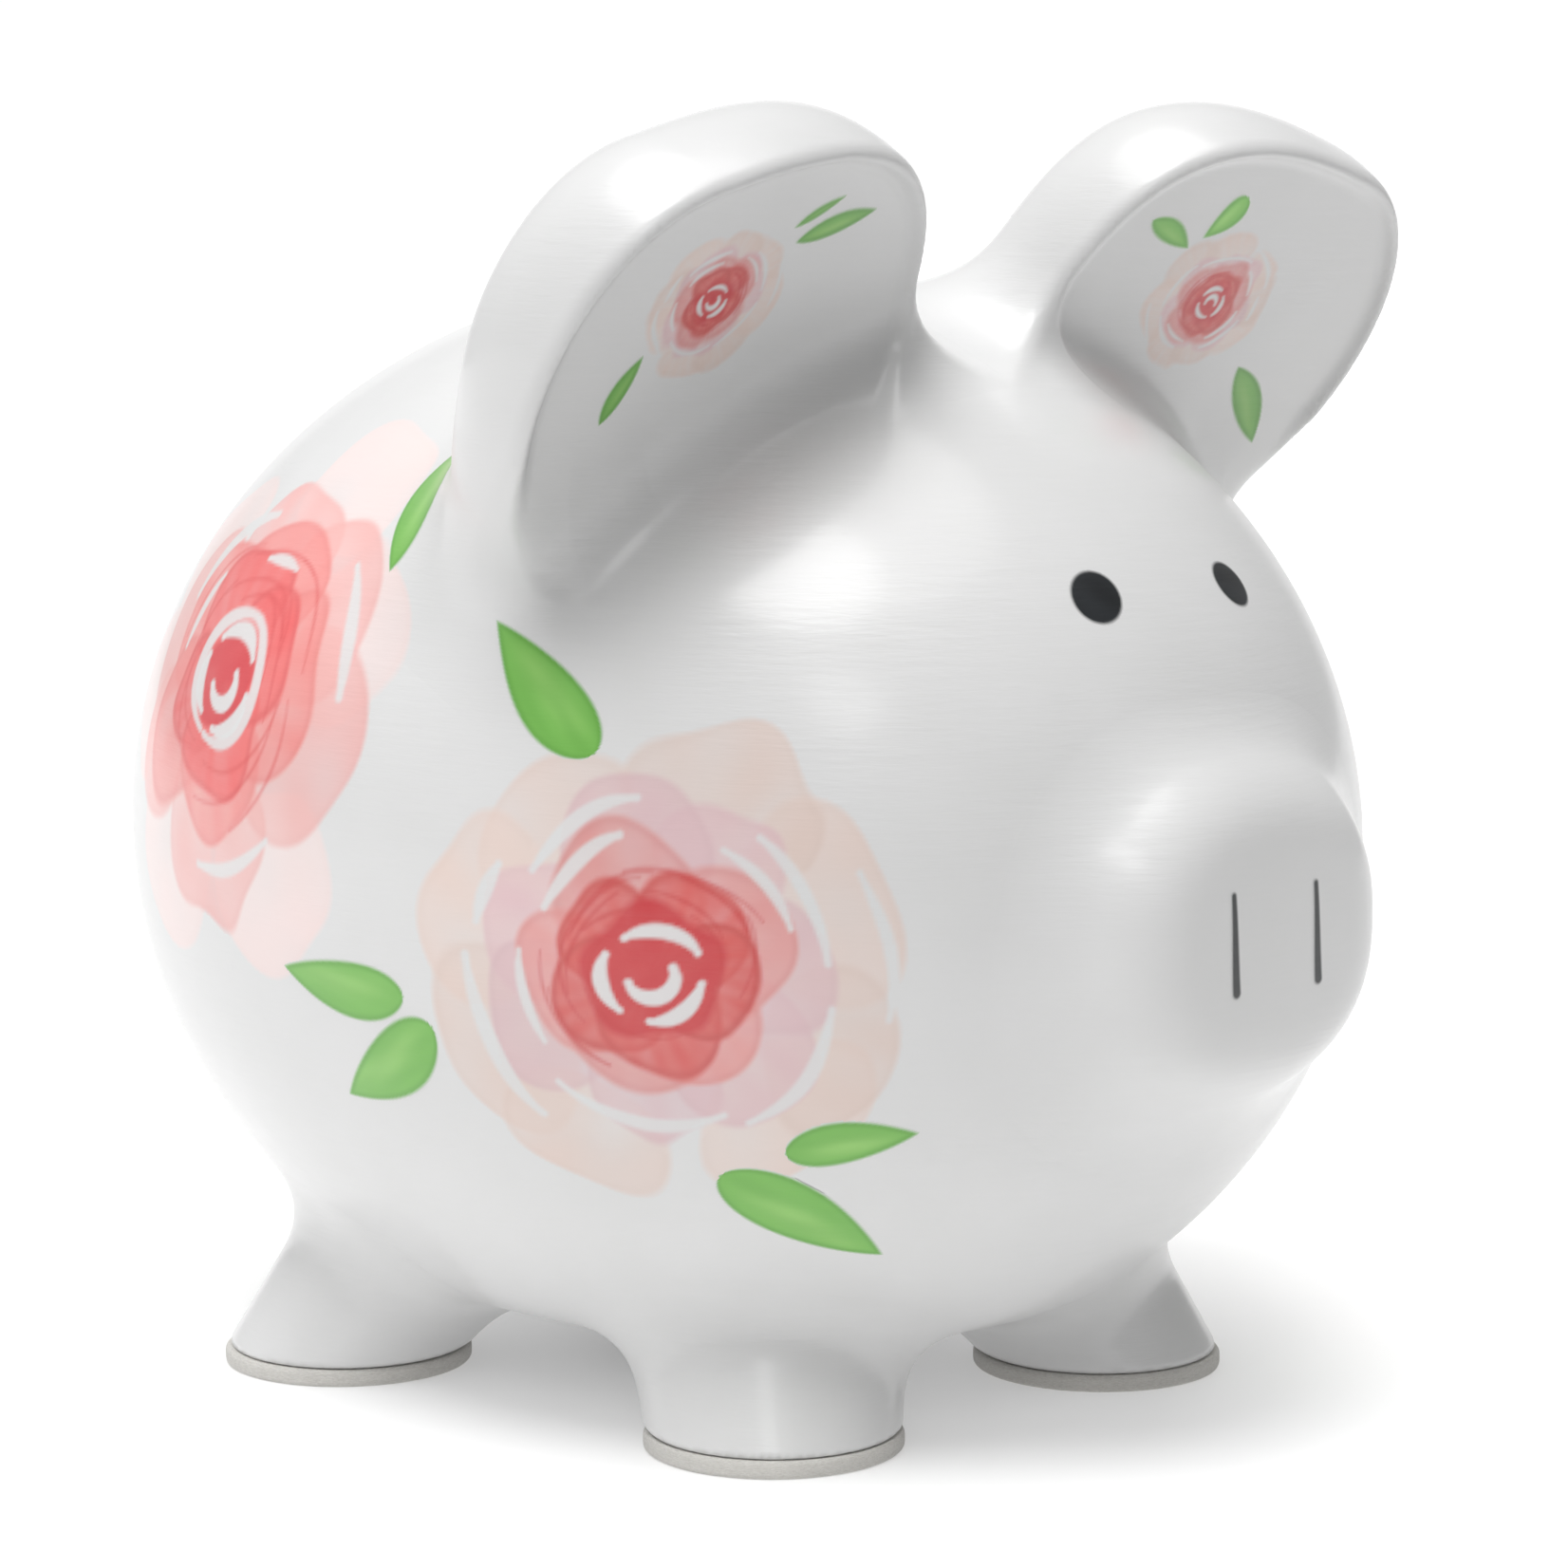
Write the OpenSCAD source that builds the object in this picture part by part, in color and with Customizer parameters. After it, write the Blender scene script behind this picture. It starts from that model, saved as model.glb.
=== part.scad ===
// Round-bodied ceramic piggy bank: a hollow shell of revolution with a coin slot in its back and a
// rubber stopper in its belly, and with the snout, ears, legs and tail luted on as separate castings.
// The pig faces -Y, stands on four round pads on z = 0, and its left side is +X. Millimetres.

/* [Body] */
// Length of the body from nose end to rump, without snout and tail
body_len = 193; // [186:1:200]
// Diameter of the body across its widest place
body_dia = 156.6; // [154:0.2:160]
// Height of the body's long axis above the ground
axis_h = 77; // [75:0.5:79]
// Exponent of the body's outline: 2 is an ellipse, more is fuller
fullness = 2; // [2:0.05:2.2]
// Thickness of the ceramic wall
wall = 4; // [3:0.5:5]
// Height of the flattened belly above the ground
belly_h = 10; // [9:0.5:12]

/* [Coin slot] */
// Length of the slot, along the spine
slot_len = 38; // [30:1:45]
// Width of the slot
slot_w = 5; // [4.5:0.5:7]
// Distance of the slot's middle behind the middle of the body
slot_back = 34; // [30:1:40]

/* [Stopper] */
// Diameter of the round hole in the belly
hole_dia = 30; // [24:1:32]
// Radial clearance between the plug and the hole
plug_fit = 0.05; // [0.02:0.01:0.1]
// Diameter of the stopper's flange
flange_dia = 36; // [34:1:40]
// Thickness of the flange
flange_t = 2; // [1.5:0.5:3]
// Height of the plug above the flange
plug_h = 7; // [6:0.5:9]
// Thickness of the plug's hollow wall
plug_wall = 2; // [1.5:0.5:3]

/* [Snout] */
// Width of the snout's flat face
snout_w = 38; // [34:1:42]
// Height of the snout's flat face
snout_h = 31; // [26:1:34]
// Distance of the face in front of the nose end of the body
snout_out = 5.7; // [5:0.1:8]
// Height of the snout's middle above the ground
snout_z = 73; // [68:1:78]
// Radius of the rounding around the face
snout_round = 5; // [3:0.5:6]
// Extra width of the snout on each side where it meets the body
snout_flare = 4; // [2:0.5:6]

/* [Ears] */
// Reach of an ear from its reference point: outward, towards the middle, up, down
ear_reach = [26.5, 41, 33.3, 55];
// Depth of an ear from its front face to its back
ear_depth = 23.4; // [20:0.2:28]
// Radius of the rounding of an ear's back
ear_round = 11; // [6:1:14]
// Depth of the hollow in the front face
ear_dish = 2; // [1:0.5:3]
// Width of the rim around the hollow
ear_rim = 2; // [1:0.5:5]
// Place of an ear's reference point: outward, forward, up
ear_at = [52.4, 47, 142.2];
// Angles of an ear: turn of its face towards the middle, lean forward, lean outward
ear_turn = [5.8, 33.5, 20];

/* [Legs] */
// Place of a front foot: outward, forward
front_foot = [32, 42];
// Place of a rear foot: outward, backward
rear_foot = [43.5, 34.5];
// Diameter of a foot
foot_dia = 34.2; // [32:0.2:38]
// Diameter of a leg inside the body
thigh_dia = 44; // [40:1:48]
// Diameter of a foot pad
pad_dia = 35.2; // [32:0.2:40]
// Thickness of a foot pad
pad_t = 2.4; // [1.6:0.2:4]

/* [Tail] */
// Radius of the tail's curl, to the middle of the roll
curl_r = 8; // [6:0.5:10]
// Thickness of the roll of clay
tail_dia = 7; // [6:0.5:8]
// Height of the curl's middle above the ground
tail_z = 92; // [88:1:96]

/* [Hidden] */
glaze = "white";
rubber = "dimgray";
felt = "linen";
half_len = body_len / 2;
body_steps = 48;            // steps along the body's outline
oval_steps = 48;            // steps around a full oval
oval_fullness = 2.4;        // exponent of the snout's outline
ear_fullness = [2, 2.7, 2.1]; // exponents of an ear's outline: outer top, inner top, bottom
ear_steps = 40;             // steps around an ear
thin = 0.2;                 // thickness of the slices that a rounded form is hulled from
hip = [0.5, 0.5, 40];       // leg's upper end: shares of the foot's place, and its height
flange_gap = 0.1;           // between the flange and the belly
plug_taper = 1;             // how much narrower the plug's rim is
tail_out = 0.3;             // distance of the curl's middle behind the rump
tail_tilt = 14;             // how far the curl's plane leans, lower side out
tail_sweep = 290;
tail_end = 0.6;             // how much thicker the tail's round ends are than the roll
$fn = 96;

// A sine or cosine bent so that the oval it draws has the exponent n
function bow(v, n) = sign(v) * pow(abs(v), 2 / n);

// Points of an oval with half-axes a and b, from one angle to another
function oval(a, b, n, from, to, steps) = [
    for (i = [0 : steps])
        let (t = from + (to - from) * i / steps)
            [a * bow(cos(t), n), b * bow(sin(t), n)]
];

// An upright slice of a flat outline: its front is at y = -thin
module slice(points) {
    rotate([90, 0, 0])
        linear_extrude(thin)
            polygon(points);
}

// Makes the left one of a pair, or mirrors it into the right one
module sided(left) {
    mirror([left ? 0 : 1, 0, 0])
        children();
}

// The body's outline turned about its long axis, with its surface moved in by inset
module body_form(inset) {
    translate([0, 0, axis_h])
        rotate([90, 0, 0])
            rotate_extrude()
                polygon(oval(body_dia / 2 - inset, half_len - inset, fullness, -90, 90, body_steps));
}

// Everything above a height
module above(z) {
    translate([-body_dia, -body_len, z])
        cube([2 * body_dia, 2 * body_len, 2 * body_dia]);
}

module body_outside() {
    intersection() {
        body_form(0);
        above(belly_h);
    }
}

module body_shell() {
    color(glaze)
        difference() {
            body_outside();
            intersection() {
                body_form(wall);
                above(belly_h + wall);
            }
            coin_slot();
            translate([0, 0, belly_h - 1])
                cylinder(h = wall + 2, d = hole_dia);
        }
}

module coin_slot() {
    straight = slot_len - slot_w;
    translate([0, slot_back, axis_h]) {
        translate([-slot_w / 2, -straight / 2, 0])
            cube([slot_w, straight, body_dia / 2]);
        for (end = [-1, 1])
            translate([0, end * straight / 2, 0])
                cylinder(h = body_dia / 2, d = slot_w);
    }
}

module snout_slice(depth, grow) {
    translate([0, depth, 0])
        slice(oval(snout_w / 2 + grow, snout_h / 2 + grow, oval_fullness, 0, 360, oval_steps));
}

module snout() {
    color(glaze)
        difference() {
            translate([0, -half_len - snout_out, snout_z])
                hull() {
                    for (t = [0 : 22.5 : 90])
                        snout_slice(thin + snout_round * (1 - cos(t)), snout_round * sin(t));
                    snout_slice(snout_out + 3 * snout_flare, snout_round + snout_flare);
                }
            body_outside();
        }
}

// A point of an ear's outline with its edge moved in by inset: at 0 outward, at 90 up
function ear_point(t, inset) =
    let (
        out = cos(t) > 0,
        up = sin(t) > 0,
        n = ear_fullness[up ? (out ? 0 : 1) : 2]
    )
        [
            (ear_reach[out ? 0 : 1] - inset) * bow(cos(t), n),
            (ear_reach[up ? 2 : 3] - inset) * bow(sin(t), n)
        ];

function ear_outline(inset) = [for (i = [1 : ear_steps]) ear_point(360 * i / ear_steps, inset)];

module ear_form() {
    difference() {
        hull() {
            translate([0, thin, 0])
                slice(ear_outline(ear_dish / 2));
            for (t = [0 : 22.5 : 67.5])
                translate([0, ear_depth - ear_round * (1 - sin(t)), 0])
                    slice(ear_outline(ear_round * (1 - cos(t))));
        }
        translate([0, ear_dish, 0])
            rotate([90, 0, 0])
                linear_extrude(2 * ear_dish)
                    polygon(ear_outline(ear_rim));
    }
}

module ear(left) {
    color(glaze)
        difference() {
            sided(left)
                translate([ear_at[0], -ear_at[1], ear_at[2]])
                    rotate([0, 0, -ear_turn[0]])
                        rotate([ear_turn[1], 0, 0])
                            rotate([0, ear_turn[2], 0])
                                ear_form();
            body_outside();
        }
}

// foot: outward and backward distance of the foot's middle
module leg(foot, left) {
    color(glaze)
        difference() {
            sided(left)
                hull() {
                    translate([foot[0], foot[1], pad_t])
                        cylinder(h = pad_t, d = foot_dia);
                    translate([foot[0] * hip[0], foot[1] * hip[1], hip[2]])
                        cylinder(h = pad_t, d = thigh_dia);
                }
            body_outside();
        }
}

module pad(foot, left) {
    color(felt)
        sided(left)
            translate([foot[0], foot[1], 0])
                cylinder(h = pad_t, d = pad_dia);
}

module tail() {
    color(glaze)
        difference() {
            translate([0, half_len + tail_out, tail_z])
                rotate([90 + tail_tilt, 0, 0]) {
                    rotate([0, 0, 90])
                        rotate_extrude(angle = tail_sweep)
                            translate([curl_r, 0])
                                circle(d = tail_dia);
                    for (t = [90, 90 + tail_sweep])
                        rotate([0, 0, t])
                            translate([curl_r, 0, 0])
                                sphere(d = tail_dia + tail_end);
                }
            body_outside();
        }
}

module belly_stopper() {
    top = belly_h - flange_gap;
    r = hole_dia / 2 - plug_fit;
    color(rubber)
        rotate_extrude()
            polygon([
                [0, top - flange_t],
                [flange_dia / 2 - 1, top - flange_t],
                [flange_dia / 2, top - flange_t + 1],
                [flange_dia / 2, top],
                [r, top],
                [r, top + plug_h - plug_taper],
                [r - plug_taper, top + plug_h],
                [r - plug_wall, top + plug_h],
                [r - plug_wall, top + plug_wall],
                [0, top + plug_wall]
            ]);
}

front = [front_foot[0], -front_foot[1]];
rear = rear_foot;
body_shell();
snout();
ear(true);  // left_ear
ear(false);  // right_ear
leg(front, true);  // front_left_leg
leg(front, false);  // front_right_leg
leg(rear, true);  // rear_left_leg
leg(rear, false);  // rear_right_leg
tail();
belly_stopper();
pad(front, true);  // front_left_pad
pad(front, false);  // front_right_pad
pad(rear, true);  // rear_left_pad
pad(rear, false);  // rear_right_pad
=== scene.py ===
import math

import bpy
import numpy as np
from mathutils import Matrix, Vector


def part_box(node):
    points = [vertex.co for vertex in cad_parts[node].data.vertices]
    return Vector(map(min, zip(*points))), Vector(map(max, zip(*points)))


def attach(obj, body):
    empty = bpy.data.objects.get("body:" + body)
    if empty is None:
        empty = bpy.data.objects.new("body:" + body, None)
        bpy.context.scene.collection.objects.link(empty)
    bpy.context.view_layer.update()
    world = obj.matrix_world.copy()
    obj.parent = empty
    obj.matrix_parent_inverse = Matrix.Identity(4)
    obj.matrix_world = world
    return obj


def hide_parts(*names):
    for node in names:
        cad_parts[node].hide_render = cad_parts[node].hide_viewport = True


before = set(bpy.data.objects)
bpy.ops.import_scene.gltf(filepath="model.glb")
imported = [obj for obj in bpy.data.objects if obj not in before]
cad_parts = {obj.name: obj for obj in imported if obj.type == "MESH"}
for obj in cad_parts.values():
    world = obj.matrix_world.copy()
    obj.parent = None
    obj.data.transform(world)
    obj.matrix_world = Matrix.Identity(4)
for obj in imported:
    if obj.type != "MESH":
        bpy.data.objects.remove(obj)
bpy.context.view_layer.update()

# The pig is worked out in millimetres in the part's own frame (+Z up, it faces -Y, its left side
# is +X) until a mesh is made; the floor, lights and camera are in metres. The glazed surface is a
# set of distance-like fields, negative inside, so that snout, ears, legs and tail flow into the
# body as luted and glazed clay does.
MM = 0.001
FEET = ("front_left", "front_right", "rear_left", "rear_right")


# ---------------------------------------------------------------- sizes from the frame


def node_box(name):
    """Lowest and highest corner of a CAD node, in millimetres."""
    low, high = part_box(name)
    return np.array(low) / MM, np.array(high) / MM


body_low, body_high = node_box("body_shell")
HALF_LEN = (body_high[1] - body_low[1]) / 2
GIRTH = (body_high[0] - body_low[0]) / 2
AXIS_H = body_high[2] - GIRTH
BELLY_H = body_low[2]
BELLY_ROUND = 8.0  # blend between the round body and its flat belly
WALL = 4.0

snout_low, snout_high = node_box("snout")
SNOUT_FACE = snout_low[1]
SNOUT_H = (snout_low[2] + snout_high[2]) / 2
# Half-axes and exponent of the snout's outline, rounding of its front edge, how far the outline
# stands out as a share of that rounding, its widening towards the body, and its depth
SNOUT = dict(half=(19.0, 15.5), fullness=2.4, edge=8.0, proud=0.45, flare=0.35, depth=26)

pad_low, pad_high = node_box("front_left_pad")
PAD_T = pad_high[2]
PAD_R = (pad_high[0] - pad_low[0]) / 2
FOOT_R = PAD_R - 0.2  # a foot stands just inside the edge of its pad
# Height of the hip, its place as a share of the foot's, growth of the radius up to it, rounding
# of the foot's edge, the field's slope, and how far the leg runs on above the hip
LEG = dict(hip_h=40.0, hip_in=0.5, thigh=0.30, edge=1.4, slope=0.88, over=5)

tail_low, tail_high = node_box("tail")
TAIL_H = (tail_low[2] + tail_high[2]) / 2
# Curl of the tail: first angle and sweep in degrees, radius and how much it tightens, first
# distance from the rump and how much that grows, thickness and how much that tapers
TAIL = dict(start=-20, sweep=330, r=8.0, tighten=1.6, root=-3.0, lift=8.0, thick=3.7, taper=1.2)

stopper_low, stopper_high = node_box("belly_stopper")
FLANGE_R = (stopper_high[0] - stopper_low[0]) / 2
FLANGE_T = 2.0
HOLE_R = 15.0
PLUG_FIT = 0.05
# Coin slot: how far back its middle is, half of its straight part, and half its width
SLOT = dict(middle=34.0, half=16.5, r=2.5)

# An ear's face: its reference point, its angles in degrees, how far it reaches outward, towards
# the middle of the head, up and down, and the exponents of its outline: outer top, inner top and
# bottom. Then the ear's depth and roundings, the dish in its face and the rim round the dish.
# Low on the outer side the rim fades out, and front_round grows by faded_round there.
EAR = dict(
    at=(52.4, -47.0, 142.2),
    turn=5.8,
    lean=33.5,
    out=20.0,
    reach=(26.5, 41.0, 33.3, 55.0),
    fullness=(2.0, 2.7, 2.1),
    depth=23.4,
    back_round=19.5,
    front_round=3.0,
    faded_round=7,
    dish=1.8,
    dish_round=2.2,
    rim=1.8,
    rim_round=1.2,
)

# ---------------------------------------------------------------- fields


def smooth_min(a, b, k):
    """The lesser of two fields, with their meeting rounded over a width of about k."""
    h = np.maximum(k - np.abs(a - b), 0) / k
    return np.minimum(a, b) - h * h * k / 4


def smooth_max(a, b, k):
    return -smooth_min(-a, -b, k)


def oval_field(us, scales, n):
    """About the distance to the superellipse with these half-axes and this exponent."""
    q = [np.abs(u) / s + 1e-6 for u, s in zip(us, scales)]
    g = sum(v**n for v in q) ** (1 / n)
    slope = np.sqrt(sum((v ** (n - 1) / s) ** 2 for v, s in zip(q, scales))) * g ** (1 - n)
    return (g - 1) / np.maximum(slope, 0.4 / np.maximum.reduce([s + 0 * g for s in scales]))


def body_form(p, inset):
    """The egg-shaped body with its flat belly, drawn in by inset."""
    x, y, z = p[:, 0], p[:, 1], p[:, 2] - AXIS_H
    egg = oval_field((np.hypot(x, z), y), (GIRTH - inset, HALF_LEN - inset), 2.0)
    return smooth_max(egg, BELLY_H + inset - p[:, 2], BELLY_ROUND)


def body(p):
    return body_form(p, 0.0)


def shell(p):
    """The hollow body with its coin slot and its stopper hole, edges softened by the glaze."""
    x, y, z = p.T
    slot = np.hypot(x, np.maximum(np.abs(y - SLOT["middle"]) - SLOT["half"], 0)) - SLOT["r"]
    slot = np.maximum(slot, AXIS_H - z)
    hole = np.maximum(np.hypot(x, y) - HOLE_R, z - AXIS_H)
    f = smooth_max(body(p), -body_form(p, WALL), 1.0)
    f = smooth_max(f, -slot, 2.4)
    return smooth_max(f, -hole, 1.2)


def snout(p):
    """A short oval snout that widens towards the body."""
    x, y, z = p[:, 0], p[:, 1], p[:, 2] - SNOUT_H
    depth = y - SNOUT_FACE
    side = oval_field((x, z), SNOUT["half"], SNOUT["fullness"])
    side = side - SNOUT["proud"] * SNOUT["edge"] - SNOUT["flare"] * np.maximum(depth, 0)
    return smooth_max(smooth_max(side, -depth, SNOUT["edge"]), depth - SNOUT["depth"], 2.0)


def ear_axes():
    """Axes of the right ear's face: towards the middle, up, and out of the face."""
    turn, lean, out = (math.radians(EAR[k]) for k in ("turn", "lean", "out"))
    ahead = np.array(
        [math.sin(turn) * math.cos(lean), -math.cos(turn) * math.cos(lean), -math.sin(lean)]
    )
    up = np.array([0, 0, 1.0]) - ahead[2] * ahead
    up /= np.linalg.norm(up)
    across = np.cross(up, ahead)
    c, s = math.cos(out), math.sin(out)
    return c * across + s * up, c * up - s * across, ahead


EAR_U, EAR_V, EAR_N = ear_axes()


def ear_point(side, u, v):
    """A point across and up the dish of an ear's face; side is -1 for the right ear."""
    at = np.array(EAR["at"]) * (-1, 1, 1) + u * EAR_U + v * EAR_V - EAR["dish"] * EAR_N
    return at * (-side, 1, 1)


def ear_outline(u, v, inset):
    """The outline of an ear's face, drawn in by inset; u runs towards the middle, v up."""
    out, inner, up, down = (r - inset for r in EAR["reach"])
    n_out, n_in, n_low = EAR["fullness"]
    a = np.where(u < 0, out, inner)
    b = np.where(v > 0, up, down)
    n = np.where(v > 0, np.where(u < 0, n_out, n_in), n_low)
    return oval_field((u, v), (a, b), n)


def ear(side):
    """A thick ear with a dished front face; side is -1 for the right one."""

    def field(p):
        q = p * (-side, 1, 1) - np.array(EAR["at"]) * (-1, 1, 1)
        u, v, w = q @ EAR_U, q @ EAR_V, -(q @ EAR_N)
        f = smooth_max(ear_outline(u, v, 0.0), w - EAR["depth"], EAR["back_round"])
        low = np.clip((-v - 2) / 24, 0, 1)
        outer = np.clip((-u - 4) / 12, 0, 1)
        crisp = 1 - low * outer
        f = smooth_max(f, -w, EAR["front_round"] + EAR["faded_round"] * (1 - crisp))
        # the dish runs on below the foot of the ear, so that its face flows into the head
        dish = ear_outline(u, np.where(v < 0, 0.6 * v, v), EAR["rim"])
        dish = smooth_max(dish, w - EAR["dish"] * crisp, EAR["dish_round"])
        return smooth_max(f, -dish, EAR["rim_round"])

    return field


def leg(foot):
    """A leg that leans in from its foot, the middle of a pad, and thickens upward."""
    hip_h = LEG["hip_h"]

    def field(p):
        x, y, z = p.T
        t = np.clip((z - PAD_T) / (hip_h - PAD_T), -0.2, 1.4)
        shrink = 1 - (1 - LEG["hip_in"]) * t
        r = FOOT_R * (1 + LEG["thigh"] * np.maximum(t, 0))
        f = (np.hypot(x - foot[0] * shrink, y - foot[1] * shrink) - r) * LEG["slope"]
        f = smooth_max(f, PAD_T - z, LEG["edge"])
        return smooth_max(f, z - hip_h - LEG["over"], 3.0)

    return field


def tail_path():
    """Middle line of the rolled tail: one curl that starts in the rump and ends lifted off."""
    t = np.linspace(0, 1, 40)
    angle = np.radians(TAIL["start"] + TAIL["sweep"] * t)
    r = TAIL["r"] - TAIL["tighten"] * t
    out = TAIL["root"] + TAIL["lift"] * t
    x = r * np.sin(angle)
    z = TAIL_H + r * np.cos(angle)
    rump = HALF_LEN * np.sqrt(1 - (np.hypot(x, z - AXIS_H) / GIRTH) ** 2)
    return np.stack([x, rump + out, z], 1), TAIL["thick"] - TAIL["taper"] * t


def tail(p):
    """A roll of clay along the tail's path, as a row of tapered capsules."""
    path, radius = tail_path()
    f = np.full(len(p), np.inf)
    for a, b, ra, rb in zip(path[:-1], path[1:], radius[:-1], radius[1:]):
        ab = b - a
        t = np.clip((p - a) @ ab / (ab @ ab), 0, 1)
        f = np.minimum(f, np.linalg.norm(p - a - t[:, None] * ab, axis=1) - ra - t * (rb - ra))
    return f


def pad_middle(name):
    low, high = node_box(name)
    return (low + high)[:2] / 2


# node: (field, width of the fillet where it meets the body, grid step)
LIMBS = {
    "snout": (snout, 8.5, 0.8),
    "left_ear": (ear(1), 13.0, 0.7),
    "right_ear": (ear(-1), 13.0, 0.7),
    "tail": (tail, 2.5, 0.5),
}
for foot_name in FEET:
    LIMBS[foot_name + "_leg"] = (leg(pad_middle(foot_name + "_pad")), 8.0, 0.8)


def joined(limb):
    """The body with one limb grown into it."""
    field, fillet, _ = LIMBS[limb]
    return lambda p: smooth_min(body(p), field(p), fillet)


def skin(p):
    """The outside of the pig without its tail, which the painting lies on."""
    return np.minimum.reduce([joined(limb)(p) for limb in LIMBS if limb != "tail"])


# ---------------------------------------------------------------- meshes from fields


def axis_steps(breaks):
    """Grid positions along one axis from (end, step) pairs that follow a start value."""
    at = [breaks[0]]
    for end, step in breaks[1:]:
        n = max(1, math.ceil((end - at[-1]) / step))
        at.extend(np.linspace(at[-1], end, n + 1)[1:])
    return np.array(at)


def surface_net(field, axes):
    """Vertices and quads of the field's zero surface, one vertex to each grid cell it crosses."""
    shape = tuple(len(a) for a in axes)
    grid = np.stack(np.meshgrid(*axes, indexing="ij"), -1).reshape(-1, 3)
    f = np.concatenate([field(part) for part in np.array_split(grid, 1 + len(grid) // 400000)])
    f = f.reshape(shape)
    inside = f < 0
    cells = tuple(n - 1 for n in shape)
    total = np.zeros((*cells, 3))
    count = np.zeros(cells)
    crossings = []
    for axis in range(3):
        a = tuple(slice(0, -1) if i == axis else slice(None) for i in range(3))
        b = tuple(slice(1, None) if i == axis else slice(None) for i in range(3))
        index = np.argwhere(inside[a] != inside[b])
        key = tuple(index.T)
        t = f[a][key] / (f[a][key] - f[b][key])
        place = np.stack([axes[i][index[:, i]] for i in range(3)], 1)
        place[:, axis] += t * (axes[axis][index[:, axis] + 1] - axes[axis][index[:, axis]])
        crossings.append((axis, index, inside[b][key]))
        others = [i for i in range(3) if i != axis]
        for da in (0, -1):
            for db in (0, -1):
                cell = index.copy()
                cell[:, others[0]] += da
                cell[:, others[1]] += db
                ok = np.all((cell >= 0) & (cell < cells), 1)
                np.add.at(total, tuple(cell[ok].T), place[ok])
                np.add.at(count, tuple(cell[ok].T), 1)
    # one vertex in each cell that is crossed, at the mean of its crossings, and one quad round
    # each crossed grid edge; quads cut by the grid's border are left out
    used = count > 0
    number = np.full(cells, -1)
    number[used] = np.arange(used.sum())
    quads = []
    for axis, index, flip in crossings:
        one, two = (axis + 1) % 3, (axis + 2) % 3
        corners = []
        for da, db in ((0, 0), (-1, 0), (-1, -1), (0, -1)):
            cell = index.copy()
            cell[:, one] += da
            cell[:, two] += db
            corners.append(number[tuple(np.clip(cell, 0, np.array(cells) - 1).T)])
        quad = np.stack(corners, 1)
        quad[flip] = quad[flip][:, ::-1]
        quads.append(quad[(quad >= 0).all(1)])
    return total[used] / count[used][:, None], np.concatenate(quads)


def gradient(field, p):
    step = 0.02
    return np.stack([(field(p + d) - field(p - d)) / (2 * step) for d in step * np.eye(3)], 1)


def settle(field, p, limit):
    """Moves points onto the field's surface, at most limit at a time."""
    for _ in range(3):
        g = gradient(field, p)
        move = field(p)[:, None] * g / np.maximum((g * g).sum(1, keepdims=True), 1e-6)
        length = np.linalg.norm(move, axis=1, keepdims=True)
        p = p - move * np.minimum(1, limit / np.maximum(length, 1e-9))
    return p


def unit(v):
    return v / np.maximum(np.linalg.norm(v, axis=-1, keepdims=True), 1e-9)


def add_piece(name, mesh, body_name, node=None):
    """Puts a mesh in the scene as a piece on a body, and in a CAD node's place if one is given."""
    piece = bpy.data.objects.new(name, mesh)
    bpy.context.scene.collection.objects.link(piece)
    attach(piece, body_name)
    if node:
        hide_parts(node)


def clay_piece(name, points, faces, normals, material, node=None):
    """A smooth glazed piece with the normals of its field; returns its mesh."""
    mesh = bpy.data.meshes.new(name)
    mesh.from_pydata((points * MM).tolist(), [], faces.tolist())
    mesh.shade_smooth()
    mesh.normals_split_custom_set_from_vertices(unit(normals).tolist())
    mesh.materials.append(material)
    add_piece(name, mesh, "root", node)
    return mesh


# ---------------------------------------------------------------- materials


def srgb(r, g, b):
    """Linear colour of an 8-bit colour."""
    c = np.array([r, g, b]) / 255
    return np.where(c < 0.04045, c / 12.92, ((c + 0.055) / 1.055) ** 2.4)


GLAZE = srgb(218, 218, 218)


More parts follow.
